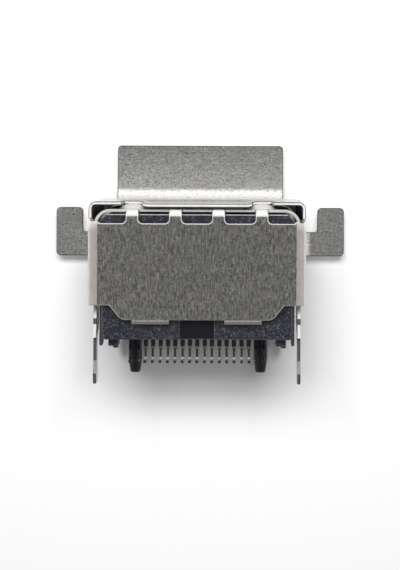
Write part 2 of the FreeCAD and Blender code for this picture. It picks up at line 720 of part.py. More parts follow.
def tail_spacer():
    """Moulded spacer behind the housing, with a comb that spaces the tails."""
    rear = y_at(SPACER_REAR_DEPTH)
    front = y_at(SPACER_FRONT_DEPTH)
    half = STAND_HALF_WIDTH
    upper = chamfered_slab(HOUSING_HALF_WIDTH, STEP_HEIGHT, rear, front)
    lower = block((-half, half), (rear, front), (STAND_HEIGHT, STEP_HEIGHT + FIT))
    pad = block((PAD_INNER_X, PAD_INNER_X + PAD_WIDTH), (y_at(SHELL_SHEET + FIT), rear + FIT),
                (PAD_BOTTOM_HEIGHT, PAD_BOTTOM_HEIGHT + PAD_HEIGHT))
    stub_side = STUB_X + STUB_WIDTH / 2
    stub_rear = rear + STUB_SETBACK
    stub = block((stub_side - STUB_WIDTH, stub_side), (stub_rear, stub_rear + STUB_LENGTH),
                 (STAND_HEIGHT - STUB_DROP, STAND_HEIGHT + FIT))
    lip = block((half - FIT, HOUSING_HALF_WIDTH),
                (rear + LIP_SETBACK, rear + LIP_SETBACK + LIP_LENGTH),
                (STAND_HEIGHT - LIP_DROP, STEP_HEIGHT + FIT))
    body = joined([upper, lower] + both_sides(pad) + both_sides(stub) + both_sides(lip))
    recess = block((-SPACER_RECESS_HALF_WIDTH, SPACER_RECESS_HALF_WIDTH),
                   (rear - FIT, rear + SPACER_RECESS_DEPTH), (0, SPACER_RECESS_TOP))
    return cut_all(body, spacer_chamber() + [recess])


def contact_side(on_top):
    """Side section of a contact, from the tongue down to its board foot."""
    tip = y_at(CONTACT_TIP_DEPTH)
    riser = y_at(RISER_DEPTH)
    jog = riser - TAIL_JOG
    face = strip_face_height(on_top)
    top = face if on_top else face + CONTACT_SHEET
    path = [(tip, top), (riser, top), (riser, TAIL_JOG_TOP), (jog, TAIL_JOG_TOP - TAIL_JOG_DROP),
            (jog, CONTACT_SHEET), (jog - TAIL_FOOT_LENGTH, CONTACT_SHEET)]
    bends = [CONTACT_BEND, TAIL_JOG_BEND, TAIL_JOG_BEND, TAIL_FOOT_BEND]
    return sheet_face(path, bends, CONTACT_SHEET, in_yz(0))


def contact(x, tail_x, on_top):
    """One contact: its side section trimmed by its outline seen from behind."""
    reach = CONTACT_PITCH + abs(tail_x - x)
    strip = along(contact_side(on_top), "x", x - reach, x + reach)
    top = strip_face_height(on_top) + CONTACT_SHEET
    foot_top = CONTACT_SHEET + TAIL_FOOT_BEND
    neck_top = TAIL_JOG_TOP - TAIL_JOG_DROP
    right = [(tail_x + TAIL_FOOT_WIDTH / 2, 0), (tail_x + TAIL_FOOT_WIDTH / 2, foot_top),
             (tail_x + TAIL_NECK_WIDTH / 2, foot_top), (tail_x + TAIL_NECK_WIDTH / 2, neck_top),
             (tail_x + TAIL_WIDTH / 2, neck_top), (tail_x + TAIL_WIDTH / 2, FAN_BOTTOM_HEIGHT),
             (x + CONTACT_WIDTH / 2, FAN_TOP_HEIGHT), (x + CONTACT_WIDTH / 2, top)]
    left = [(x - CONTACT_WIDTH / 2, top), (x - CONTACT_WIDTH / 2, FAN_TOP_HEIGHT),
            (tail_x - TAIL_WIDTH / 2, FAN_BOTTOM_HEIGHT), (tail_x - TAIL_WIDTH / 2, neck_top),
            (tail_x - TAIL_NECK_WIDTH / 2, neck_top), (tail_x - TAIL_NECK_WIDTH / 2, foot_top),
            (tail_x - TAIL_FOOT_WIDTH / 2, foot_top), (tail_x - TAIL_FOOT_WIDTH / 2, 0)]
    outline = outline_face(right + left, 0, in_xz(0))
    rear = y_at(RISER_DEPTH) - TAIL_JOG - TAIL_FOOT_LENGTH
    return strip.common(along(outline, "y", rear - FIT, y_at(CONTACT_TIP_DEPTH) + FIT))


def main():
    """Build every piece and write each one to its own file."""
    os.makedirs("parts", exist_ok=True)
    pieces = {
        "inner_shell": inner_shell(),
        "mounting_bracket": mounting_bracket(),
        "housing": housing(),
        "tail_spacer": tail_spacer(),
    }
    for name, x, tail_x, on_top in contact_rows():
        pieces[name] = contact(x, tail_x, on_top)
    for name, shape in pieces.items():
        print(name, len(shape.Solids), round(shape.Volume, 4), shape.isValid())
        shape.Solids[0].exportStep(f"parts/{name}.step")


main()
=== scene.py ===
"""Dresses a digital video socket for a circuit board, seen from behind.

The folded shell, the saddle bracket, the moulded housing and spacer, and the row of
contacts each have a class that shapes and finishes them. Lengths are metres.
"""
import logging
import math
from dataclasses import dataclass, replace
from enum import Enum, IntEnum
from typing import Any, Sequence

import bmesh
import bpy
from mathutils import Matrix, Quaternion, Vector
from mathutils.bvhtree import BVHTree


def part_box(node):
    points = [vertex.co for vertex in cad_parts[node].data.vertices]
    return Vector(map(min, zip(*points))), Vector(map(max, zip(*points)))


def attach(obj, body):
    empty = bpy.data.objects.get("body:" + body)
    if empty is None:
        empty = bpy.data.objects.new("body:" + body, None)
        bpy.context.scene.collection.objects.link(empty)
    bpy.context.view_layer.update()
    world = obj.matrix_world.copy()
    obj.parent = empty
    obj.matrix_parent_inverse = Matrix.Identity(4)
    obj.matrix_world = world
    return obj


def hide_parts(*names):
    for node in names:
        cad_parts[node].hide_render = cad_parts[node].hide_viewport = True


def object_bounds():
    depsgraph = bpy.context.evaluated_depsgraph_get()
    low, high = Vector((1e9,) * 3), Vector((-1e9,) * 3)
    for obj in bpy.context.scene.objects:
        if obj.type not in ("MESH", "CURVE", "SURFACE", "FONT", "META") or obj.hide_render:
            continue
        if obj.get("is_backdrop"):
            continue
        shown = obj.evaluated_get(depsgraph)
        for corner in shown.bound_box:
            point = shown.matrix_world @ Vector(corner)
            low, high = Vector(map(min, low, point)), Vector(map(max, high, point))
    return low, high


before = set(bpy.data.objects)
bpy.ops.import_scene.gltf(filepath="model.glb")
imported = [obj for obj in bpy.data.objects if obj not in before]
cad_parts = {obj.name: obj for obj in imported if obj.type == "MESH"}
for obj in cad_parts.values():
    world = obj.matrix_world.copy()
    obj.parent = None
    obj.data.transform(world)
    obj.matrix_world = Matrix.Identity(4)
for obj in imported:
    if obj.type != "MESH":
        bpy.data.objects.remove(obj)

MM = 0.001
BODY = "root"
IMAGE_SIZE = (400, 570)

# Points closer than this many millimetres are one point, and neighbouring faces that
# turn by less than this many degrees are one face.
SAME_POINT = 0.0005
FLAT_DEGREES = 0.6

# A face with more than this many sheet thicknesses behind it is a cut edge of the sheet.
CUT_THICKNESS = 1.5

# How strongly wide faces rule the shading of the rounded edges beside them.
FACE_PULL = 100

# How fine each noise is, and between which of its values each mark runs its course.
NOISE_ROUGHNESS = 0.6
PATCH_DETAIL = 3.0
FINE_DETAIL = 2.0
PATCH_RANGE = (0.3, 0.7)
SPECK_RANGE = (0.32, 0.68)
STREAK_RANGE = (0.35, 0.65)
MARK_RANGE = (0.58, 0.72)
GLOSS_RANGE = (0.3, 0.7)
STREAK_RELIEF = 0.5
RELIEF_DEPTH = 0.25

log = logging.getLogger("socket")

Colour = tuple[float, float, float]
Place = tuple[float, float, float]
Range = tuple[float, float]


class Grain(Enum):
    """How the marks of a finish run, as the scale of their pattern along x, y and z."""

    EVEN = (1.0, 1.0, 1.0)
    UPRIGHT = (1.0, 1.0, 0.14)
    LEVEL = (0.25, 1.0, 1.0)


class Row(Enum):
    """The two rows of contacts on the tongue, with the first number of each."""

    UPPER = 1
    LOWER = 2


class Layer(IntEnum):
    """Number of each of a coat's own finishes on its piece."""

    FACE = 0
    SECOND = 1
    BROKEN = 2


class Graph:
    """Adds nodes to a tree and joins their sockets."""

    def __init__(self, tree: bpy.types.NodeTree) -> None:
        """Work on a tree, emptied first.

        Args:
            tree: The node tree to fill.
        """
        self.tree = tree
        tree.nodes.clear()

    def node(self, kind: str, inputs: dict[Any, Any] | None = None, **settings: Any) -> bpy.types.Node:
        """Add a node.

        Args:
            kind: The node's type name.
            inputs: Values or output sockets for its inputs, by name or number.
            **settings: Properties of the node.

        Returns:
            The new node.
        """
        made = self.tree.nodes.new(kind)
        for name, value in settings.items():
            setattr(made, name, value)
        for name, value in (inputs or {}).items():
            self.feed(made.inputs[name], value)
        return made

    def feed(self, target: bpy.types.NodeSocket, value: Any) -> None:
        """Link a socket to an output, or set its value.

        Args:
            target: The input socket.
            value: An output socket or a plain value.
        """
        if isinstance(value, bpy.types.NodeSocket):
            self.tree.links.new(value, target)
        else:
            target.default_value = value

    def maths(self, operation: str, first: Any, second: Any = 0.0) -> bpy.types.NodeSocket:
        """Add one step of arithmetic.

        Args:
            operation: Name of the operation.
            first: Its first value or socket.
            second: Its second value or socket.

        Returns:
            The result's socket.
        """
        return self.node("ShaderNodeMath", {0: first, 1: second}, operation=operation).outputs[0]

    def ramp(self, value: Any, low: Any, high: Any, to_low: float,
             to_high: float) -> bpy.types.NodeSocket:
        """Map one range onto another, held at both ends.

        Args:
            value: The socket to map.
            low: Start of its range, a number or socket.
            high: End of its range, a number or socket.
            to_low: Result at the start.
            to_high: Result at the end.

        Returns:
            The result's socket.
        """
        inputs = {0: value, 1: low, 2: high, 3: to_low, 4: to_high}
        return self.node("ShaderNodeMapRange", inputs).outputs[0]

    def mix(self, share: Any, first: Any, second: Any) -> bpy.types.NodeSocket:
        """Mix two numbers.

        Args:
            share: How much of the second shows.
            first: The first number.
            second: The second number.

        Returns:
            The result's socket.
        """
        mixed = self.node("ShaderNodeMix", data_type="FLOAT")
        self.feed(mixed.inputs[0], share)
        self.feed(mixed.inputs[2], first)
        self.feed(mixed.inputs[3], second)
        return mixed.outputs[0]


def opaque(colour: Colour) -> tuple[float, float, float, float]:
    """Colour with full alpha."""
    return (*colour, 1.0)


def scaled(colour: Colour, factor: float) -> Colour:
    """Colour made lighter or darker by a factor."""
    return tuple(channel * factor for channel in colour)


@dataclass(frozen=True)
class SurfaceFinish:
    """A solid finish with fine marks of its own.

    Mottle is large soft patches, speckle is fine specks and streak is lines along the
    grain: each gives how far it lightens and darkens the colour, and its cell is the size
    of a mark. The lightest specks stand out by marks, and all of them change the roughness
    by rough_swing. Relief raises specks and streaks as bumps. Gain is painted light: it
    brightens the colour most at the middle one of three heights, where the sheet turns
    towards the light.
    """

    name: str
    colour: Colour
    metallic: float = 0.0
    roughness: float = 0.6
    mottle: float = 0.05
    mottle_cell: float = 0.5 * MM
    speckle: float = 0.1
    speckle_cell: float = 0.12 * MM
    rough_swing: float = 0.08
    relief: float = 0.0
    marks: float = 0.0
    streak: float = 0.0
    streak_cell: float = 0.06 * MM
    grain: Grain = Grain.EVEN
    specular: float = 0.5
    gain: float = 0.0
    gain_heights: tuple[float, float, float] = (0.0, 1.0, 2.0)

    @staticmethod
    def noise(graph: Graph, place: Any, cell: float, detail: float) -> bpy.types.NodeSocket:
        """Noise of a given cell size.

        Args:
            graph: The material's graph.
            place: Socket of the coordinates.
            cell: Size of one cell.
            detail: Octaves of finer noise.

        Returns:
            The noise, about 0.5 in the middle.
        """
        inputs = {"Vector": place, "Scale": 1.0 / cell, "Detail": detail,
                  "Roughness": NOISE_ROUGHNESS}
        return graph.node("ShaderNodeTexNoise", inputs).outputs[0]

    @staticmethod
    def swing(graph: Graph, noise: Any, span: Range, amount: float) -> bpy.types.NodeSocket:
        """Factor round one that follows a noise.

        Args:
            graph: The material's graph.
            noise: Socket of the noise.
            span: Values of the noise between which the factor runs.
            amount: How far it goes down and up.

        Returns:
            The factor's socket.
        """
        return graph.ramp(noise, *span, 1.0 - amount, 1.0 + amount)

    def painted_light_gain(self, graph: Graph, place: Any) -> bpy.types.NodeSocket:
        """Factor of painted light that brightens the colour most at its middle height.

        Args:
            graph: The material's graph.
            place: Socket of the coordinates.

        Returns:
            The factor's socket.
        """
        bottom, middle, top = self.gain_heights
        height = graph.node("ShaderNodeSeparateXYZ", {0: place}).outputs[2]
        rise = graph.ramp(height, bottom, middle, 0.0, self.gain)
        fall = graph.ramp(height, middle, top, 1.0, 0.0)
        return graph.maths("ADD", graph.maths("MULTIPLY", rise, fall), 1.0)

    def build(self) -> bpy.types.Material:
        """Make the material.

        Returns:
            The finished material.
        """
        material = bpy.data.materials.new(self.name)
        material.use_nodes = True
        graph = Graph(material.node_tree)
        place = graph.node("ShaderNodeTexCoord").outputs["Object"]
        along = graph.node("ShaderNodeMapping", {"Vector": place, "Scale": self.grain.value}).outputs[0]
        mottle = self.noise(graph, place, self.mottle_cell, PATCH_DETAIL)
        speckle = self.noise(graph, place, self.speckle_cell, FINE_DETAIL)
        streak = self.noise(graph, along, self.streak_cell, FINE_DETAIL)
        patches = self.swing(graph, mottle, PATCH_RANGE, self.mottle)
        specks = self.swing(graph, speckle, SPECK_RANGE, self.speckle)
        lines = self.swing(graph, streak, STREAK_RANGE, self.streak)
        level = graph.maths("MULTIPLY", graph.maths("MULTIPLY", patches, specks), lines)
        level = graph.maths("ADD", level, graph.ramp(speckle, *MARK_RANGE, 0.0, self.marks))
        # Painted light: the colour is brightened most at the middle height.
        if self.gain:
            level = graph.maths("MULTIPLY", level, self.painted_light_gain(graph, place))
        tint = graph.node("ShaderNodeVectorMath", {0: self.colour}, operation="SCALE")
        graph.feed(tint.inputs["Scale"], level)
        rough = graph.ramp(speckle, *GLOSS_RANGE, self.roughness - self.rough_swing,
                           self.roughness + self.rough_swing)
        shader = graph.node("ShaderNodeBsdfPrincipled", {
            "Base Color": tint.outputs[0],
            "Metallic": self.metallic,
            "Roughness": rough,
            "Specular IOR Level": self.specular,
        })
        if self.relief:
            height = graph.maths("ADD", speckle, graph.maths("MULTIPLY", streak, STREAK_RELIEF))
            bump = graph.node("ShaderNodeBump", {
                "Strength": self.relief,
                "Distance": self.speckle_cell * RELIEF_DEPTH,
                "Height": height,
            })
            graph.feed(shader.inputs["Normal"], bump.outputs[0])
        graph.node("ShaderNodeOutputMaterial", {"Surface": shader.outputs[0]})
        return material


STEEL: Colour = (0.45, 0.438, 0.415)
BRACKET_STEEL: Colour = (0.60, 0.592, 0.57)
NAVY: Colour = (0.0165, 0.0173, 0.0232)

SHELL_FACE = SurfaceFinish(
    "shell_face", STEEL, metallic=1.0, roughness=0.30, mottle=0.08, speckle=0.18, relief=0.35,
    streak=0.42, streak_cell=0.09 * MM, grain=Grain.UPRIGHT)
# Painted highlight: the strips' bends are a much lighter copy of the steel, where they catch the light
# from above.
SHELL_STRIP_HIGHLIGHT = SurfaceFinish(
    "shell_strip", (0.84, 0.835, 0.815), metallic=1.0, roughness=0.4, mottle=0.04, speckle=0.06)
SHELL_CUT = SurfaceFinish(
    "shell_cut", (0.44, 0.43, 0.41), mottle_cell=0.9 * MM, speckle_cell=0.13 * MM)
# Painted highlight: the broken edges are a lighter copy of the steel, where they catch the light.
SHELL_EDGE_HIGHLIGHT = SurfaceFinish(
    "shell_edge_highlight", scaled(STEEL, 1.4), metallic=1.0, roughness=0.32, mottle=0.04,
    mottle_cell=0.9 * MM, speckle=0.06, speckle_cell=0.13 * MM)
# Painted light and shade on the tabs: a lighter matt copy of the steel for the tab and a darker copy
# for its bend, painting its light stripe and the dark line beside it.
SHELL_TAB_LIT = SurfaceFinish("shell_tab_lit", (0.52, 0.50, 0.47), metallic=1.0, roughness=0.7)
TAB_BEND_SHADE = replace(SHELL_TAB_LIT, name="tab_bend_shade", colour=scaled(STEEL, 0.3))
# Painted highlight: the side bends are lighter copies of the steel, the outer ones lighter still, with
# painted light brightest at 9.85 mm height.
SHELL_BEND_HIGHLIGHT = SurfaceFinish(
    "shell_bend_highlight", (0.63, 0.59, 0.57), metallic=1.0, roughness=0.75, speckle=0.08, gain=0.5,
    gain_heights=(9.3 * MM, 9.85 * MM, 14.0 * MM))
OUTER_BEND_HIGHLIGHT = replace(SHELL_BEND_HIGHLIGHT, name="outer_bend_highlight", colour=(0.80, 0.785, 0.765))
# Painted light and shade on the legs, domes and wall edge: a near-black copy of the steel for the
# shaded bands, a pale matt one for the lit bands, and a middle one for the barb.
LEG_SHADE = SurfaceFinish("leg_shade", scaled(STEEL, 0.13), roughness=0.5)
LEG_LIT = SurfaceFinish("leg_lit", (0.56, 0.55, 0.53), speckle=0.08)
LEG_BARB = replace(LEG_LIT, name="leg_barb", colour=scaled(STEEL, 0.52))

# Painted light: gain brightens the colour most at 11.5 mm height, at the foot of the upright flange.
BRACKET_FACE = SurfaceFinish(
    "bracket_face", BRACKET_STEEL, metallic=1.0, roughness=0.35, mottle=0.08,
    mottle_cell=0.6 * MM, speckle=0.26, speckle_cell=0.13 * MM, relief=0.35, streak=0.16,
    streak_cell=0.09 * MM, grain=Grain.LEVEL, gain=0.5,
    gain_heights=(10.6 * MM, 11.5 * MM, 15.2 * MM))
BRACKET_CUT = replace(SHELL_CUT, name="bracket_cut", colour=(0.64, 0.63, 0.61))
# Painted shade: the bracket's broken edges are a darker copy of its steel, painting a dark line along
# them.
BRACKET_EDGE_SHADE = replace(
    SHELL_EDGE_HIGHLIGHT, name="bracket_edge_shade", colour=scaled(BRACKET_STEEL, 0.35), roughness=0.33)

MOULDED = SurfaceFinish(
    "moulded_plastic", NAVY, roughness=0.52, mottle=0.35, mottle_cell=0.7 * MM, speckle=0.9,
    speckle_cell=0.11 * MM, relief=1.0, rough_swing=0.15, marks=5.0)
# Painted shade: the housing and the spacer's recess are smoother and 0.35 times as light as the
# spacer's plastic, standing in for the shade they lie in.
MOULDED_SMOOTH_SHADED = SurfaceFinish(
    "moulded_smooth_shaded", scaled(NAVY, 0.35), roughness=0.42, mottle=0.1, mottle_cell=0.7 * MM,
    speckle=0.2, speckle_cell=0.2 * MM, relief=0.1, specular=0.3)
# Painted highlight: the mouldings' broken edges are lighter, glossier plastic, and the spacer's top rim
# is a pale grey, where they catch the light.
MOULDED_RIM_HIGHLIGHT = replace(
    MOULDED_SMOOTH_SHADED, name="moulded_rim_highlight", colour=scaled(NAVY, 1.6), roughness=0.25, relief=0.0,
    specular=1.0)
MOULDED_TOP_HIGHLIGHT = replace(
    MOULDED_RIM_HIGHLIGHT, name="moulded_top_highlight", colour=(0.40, 0.40, 0.41), roughness=0.3, specular=0.5)

PLATED = SurfaceFinish(
    "plated_contact", (0.72, 0.56, 0.27), metallic=1.0, roughness=0.3, mottle=0.08, speckle=0.08,
    speckle_cell=0.08 * MM)
# Painted shade and highlights on the tails: near black where they lie in shade under the spacer,
# lighter matt copies on the jogs and the tops of the feet where they catch the light.
TAIL_IN_SHADE = SurfaceFinish(
    "contact_tail_shade", (0.042, 0.036, 0.031), metallic=0.6, roughness=0.4, mottle=0.3,
    mottle_cell=0.4 * MM, speckle=0.2, speckle_cell=0.08 * MM)
TAIL_SHADED = replace(TAIL_IN_SHADE, name="shaded_tail", colour=scaled(NAVY, 1.1))
TAIL_JOG_HIGHLIGHT = replace(
    TAIL_IN_SHADE, name="tail_jog_highlight", colour=(0.20, 0.18, 0.16), metallic=0.0, roughness=0.5, mottle=0.2,
    mottle_cell=0.3 * MM)
TAIL_FOOT_HIGHLIGHT = replace(
    TAIL_JOG_HIGHLIGHT, name="tail_foot_highlight", colour=(0.34, 0.33, 0.31), roughness=0.4, speckle=0.3)


@dataclass(frozen=True)
class Zone:
    """Part of a piece, in millimetres.

    It lies above its bottom and below its top, from outside to inside counted from the
    piece's middle, and from rear to front, where the front is towards the mouth.
    """

    bottom: float
    top: float
    outside: float = 0.0
    inside: float = 100.0
    rear: float = -100.0
    front: float = 100.0

    def holds(self, place: Vector) -> bool:
        """Whether a place lies in the zone."""
        return (self.bottom < place.z < self.top and self.outside <= abs(place.x) < self.inside
                and self.rear < place.y < self.front)


Zones = tuple[tuple[Zone, bpy.types.Material], ...]


@dataclass(frozen=True)
class EdgeRounding:
    """How the sharp edges of a solid are broken, in millimetres.

    An edge whose middle lies in a zone takes the width of the first such zone.
    """

    width: float
    zones: tuple[tuple[Zone, float], ...] = ()
    segments: int = 2
    sharp_degrees: float = 28.0

    def share(self, edge: bmesh.types.BMEdge) -> float:
        """How much of the widest rounding an edge takes.

        Args:
            edge: The edge.

        Returns:
            Its share, from 0 to 1.
        """
        if len(edge.link_faces) != 2 or edge.calc_face_angle(0.0) < math.radians(self.sharp_degrees):
            return 0.0
        middle = (edge.verts[0].co + edge.verts[1].co) / 2
        for zone, width in self.zones:
            if zone.holds(middle):
                return width / self.widest()
        return self.width / self.widest()

    def widest(self) -> float:
        """The widest rounding."""
        return max([self.width] + [width for _, width in self.zones])


@dataclass(frozen=True)
class Coat:
    """The finishes of one piece.

    They are those of its faces, of its second kind of face, of its broken edges and of its
    zones. On a sheet, whose thickness is given in millimetres, the second kind is the cut
    edges that lie higher than cut_above. On a moulding it is the smooth recess, darkened
    with painted shade.
    """

    face: bpy.types.Material
    second: bpy.types.Material
    broken: bpy.types.Material
    sheet: float = 0.0
    cut_above: float = 0.0
    zones: Zones = ()

    def layer(self, thickness: float | None, middle: Vector) -> Layer:
        """Finish of a face, by how thick the piece is behind it.

        Args:
            thickness: Thickness behind the face, or None where nothing is hit.
            middle: A place on the face.

        Returns:
            The finish's number.
        """
        thin = thickness is not None and thickness < CUT_THICKNESS * self.sheet
        if self.sheet and not thin and middle.z > self.cut_above:
            return Layer.SECOND
        return Layer.FACE


def add_object(name: str, data: bpy.types.ID) -> bpy.types.Object:
    """Link a new object for a mesh, a lamp or a camera.

    Args:
        name: The object's name.
        data: What it shows.

    Returns:
        The object, at the origin.
    """
    made = bpy.data.objects.new(name, data)
    bpy.context.scene.collection.objects.link(made)
    return made


def evaluated_mesh(source: bpy.types.Object) -> bpy.types.Mesh:
    """Plain mesh of an object with its modifiers applied.

    Args:
        source: The object to evaluate.

    Returns:
        A new mesh.
    """
    graph = bpy.context.evaluated_depsgraph_get()
    return bpy.data.meshes.new_from_object(source.evaluated_get(graph), depsgraph=graph)


def merged_mesh(node: str, name: str, rounding: EdgeRounding, coat: Coat) -> bpy.types.Mesh:
    """Copy of a node's mesh in millimetres, with its loose triangles joined into flat faces.

    Its sharp edges carry bevel weights, and the cut edges of a sheet its second finish.

    Args:
        node: The node to copy.
        name: Name of the new mesh.
        rounding: How its edges will be broken.
        coat: Its finishes.

    Returns:
        The joined mesh.
    """
    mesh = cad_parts[node].data.copy()
    mesh.name = name
    mesh.materials.clear()
    for finish in (coat.face, coat.second, coat.broken):
        mesh.materials.append(finish)
    mesh.transform(Matrix.Scale(1.0 / MM, 4))
    work = bmesh.new()
    work.from_mesh(mesh)
    bmesh.ops.remove_doubles(work, verts=work.verts, dist=SAME_POINT)
    bmesh.ops.dissolve_limit(work, angle_limit=math.radians(FLAT_DEGREES), verts=work.verts,
                             edges=work.edges, delimit=set())
    weights = work.edges.layers.float.new("bevel_weight_edge")
    for edge in work.edges:
        edge[weights] = rounding.share(edge)
    mark_cut_edges(work, coat)
    work.to_mesh(mesh)
    work.free()
    return mesh


def mark_cut_edges(work: bmesh.types.BMesh, coat: Coat) -> None:
    """Give each face its finish, which on the cut edges of a sheet is the second.

    The thickness behind a face is measured at the middle of its largest triangle.

    Args:
        work: The piece, in millimetres.
        coat: Its finishes.
    """
    tree = BVHTree.FromBMesh(work)
    largest = {}
    for loops in work.calc_loop_triangles():
        first, second, third = (loop.vert.co for loop in loops)
        area = (second - first).cross(third - first).length
        if area > largest.get(loops[0].face, (0.0, None))[0]:
            largest[loops[0].face] = (area, (first + second + third) / 3)
    for face in work.faces:
        face.smooth = True
        face.material_index = Layer.FACE
    for face, (_, middle) in largest.items():
        thickness = tree.ray_cast(middle - face.normal * SAME_POINT, -face.normal)[3]
        face.material_index = coat.layer(thickness, middle)


def paint(mesh: bpy.types.Mesh, zones: Zones, unit: float) -> None:
    """Give each polygon the finish of the first zone that holds its middle.

    Args:
        mesh: The mesh to paint.
        zones: Zones and their finishes.
        unit: Size of a millimetre in the mesh.
    """
    first = len(mesh.materials)
    for _, finish in zones:
        mesh.materials.append(finish)
    for polygon in mesh.polygons:
        for index, (zone, _) in enumerate(zones):
            if zone.holds(polygon.center / unit):
                polygon.material_index = first + index
                break


def refined(node: str, name: str, rounding: EdgeRounding, coat: Coat) -> bpy.types.Object:
    """Copy of a solid with its edges broken and its finishes on.

    The work is done in millimetres, because the tools lose precision on very small faces.

    Args:
        node: The solid's node.
        name: Name of the new piece.
        rounding: How its edges are broken, in millimetres.
        coat: Its finishes.

    Returns:
        The new piece, as a plain mesh in metres.
    """
    mesh = merged_mesh(node, name, rounding, coat)
    piece = add_object(name, mesh)
    bevel = piece.modifiers.new("edges", "BEVEL")
    bevel.width = rounding.widest()
    bevel.segments = rounding.segments
    bevel.limit_method = "WEIGHT"
    bevel.use_clamp_overlap = False
    bevel.material = Layer.BROKEN
    weighted = piece.modifiers.new("normals", "WEIGHTED_NORMAL")
    weighted.mode = "FACE_AREA"
    weighted.weight = FACE_PULL
    shaped = evaluated_mesh(piece)
    piece.modifiers.clear()
    paint(shaped, coat.zones, 1.0)
    shaped.transform(Matrix.Scale(MM, 4))
    piece.data = shaped
    return piece


def seat(piece: bpy.types.Object, slot: str, *nodes: str) -> None:
    """Attach a finished piece to the frame.

    Args:
        piece: The piece.
        slot: Name of the record's material slot; not used.
        *nodes: The nodes it stands for.
    """
    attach(piece, BODY)
    if nodes:
        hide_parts(*nodes)
    log.info("%s: %d faces", piece.name, len(piece.data.polygons))


@dataclass
class FoldedShell:
    """The inner shell: mouth, hood, rear flap and legs of one folded sheet.

    The zones named for edges, ends or corners have their own rounding, and the others
    their own finish, mostly lit and shaded copies of the steel that paint light and shade
    on the strips, tabs, bends, domes, wall edge and legs. Lengths are millimetres.
    """

    node: str = "inner_shell"
    sheet: float = 0.23
    cut_above: float = 9.0
    edge_width: float = 0.06
    hood_width: float = 0.05
    strip_width: float = 0.1
    leg_width: float = 0.03
    corner_width: float = 0.09
    hood_edges: Zone = Zone(9.5, 12.0, rear=-3.6)
    strip_edges: Zone = Zone(9.5, 12.0)
    leg_edges: Zone = Zone(-2.0, 3.9, outside=6.8)
    tab_edges: Zone = Zone(2.5, 3.13, inside=6.0)
    tab_inner_ends: Zone = Zone(2.5, 3.3, outside=1.8, inside=2.0)
    tab_outer_ends: Zone = Zone(2.5, 3.3, outside=4.4, inside=4.6)
    flap_corners: Zone = Zone(3.0, 4.3, inside=7.2)
    tabs: Zone = Zone(2.5, 3.045, inside=6.0)
    tab_bends: Zone = Zone(3.045, 3.13, inside=6.0)
    strips: Zone = Zone(10.3, 12.0, rear=-4.6, front=-3.35)
    domes: Zone = Zone(10.785, 12.0, outside=3.4, inside=5.7)
    hood: Zone = Zone(9.6, 10.9, outside=4.0, inside=7.3, rear=-3.32, front=-3.28)
    wall_edge: Zone = Zone(6.4, 6.9, outside=6.9, inside=7.25, rear=-3.31, front=-3.2)
    outer_bends: Zone = Zone(4.1, 10.0, outside=7.38, rear=-4.3, front=-3.75)
    bends: Zone = Zone(4.1, 10.0, outside=6.88)
    leg_step: Zone = Zone(3.16, 4.1, outside=6.9, front=-3.2)
    leg_shoulder: Zone = Zone(1.84, 2.74, outside=6.9, front=-3.2)
    leg_barb: Zone = Zone(-0.67, 0.2, outside=6.9, front=-3.2)
    leg_rest: Zone = Zone(-2.0, 4.1, outside=6.9, front=-3.2)

    def rounding(self) -> EdgeRounding:
        """How the edges are broken; those of the tabs stay sharp.

        Returns:
            The rounding.
        """
        return EdgeRounding(self.edge_width, (
            (self.hood_edges, self.hood_width),
            (self.strip_edges, self.strip_width),
            (self.leg_edges, self.leg_width),
            (self.tab_edges, 0.0),
            (self.tab_inner_ends, 0.0),
            (self.tab_outer_ends, 0.0),
            (self.flap_corners, self.corner_width),
        ))

    def build(self) -> None:
        """Shape and dress the shell."""
        cut = SHELL_CUT.build()
        # Painted light: the lit matt copy of the steel serves the domes, the wall edge and the lit
        # bands of the legs.
        light = LEG_LIT.build()
        zones = (
            (self.tabs, SHELL_TAB_LIT.build()), (self.tab_bends, TAB_BEND_SHADE.build()),
            (self.strips, SHELL_STRIP_HIGHLIGHT.build()), (self.domes, light), (self.hood, cut),
            (self.wall_edge, light), (self.outer_bends, OUTER_BEND_HIGHLIGHT.build()),
            (self.bends, SHELL_BEND_HIGHLIGHT.build()), (self.leg_step, light), (self.leg_shoulder, light),
            (self.leg_barb, LEG_BARB.build()), (self.leg_rest, LEG_SHADE.build()))
        coat = Coat(SHELL_FACE.build(), cut, SHELL_EDGE_HIGHLIGHT.build(), self.sheet, self.cut_above, zones)
        seat(refined(self.node, "folded_shell", self.rounding(), coat), "shell_steel", self.node)


@dataclass
class SaddleBracket:
    """The mounting bracket: saddle, upright flange and two ears of one folded sheet.

    Lengths are millimetres.
    """

    node: str = "mounting_bracket"
    sheet: float = 0.25
    edge_width: float = 0.07
    saddle_width: float = 0.055
    saddle_edges: Zone = Zone(8.0, 11.2, inside=7.7)

    def build(self) -> None:
        """Shape and dress the bracket."""
        rounding = EdgeRounding(self.edge_width, ((self.saddle_edges, self.saddle_width),))
        coat = Coat(BRACKET_FACE.build(), BRACKET_CUT.build(), BRACKET_EDGE_SHADE.build(), self.sheet)
        seat(refined(self.node, "saddle_bracket", rounding, coat), "bracket_steel", self.node)


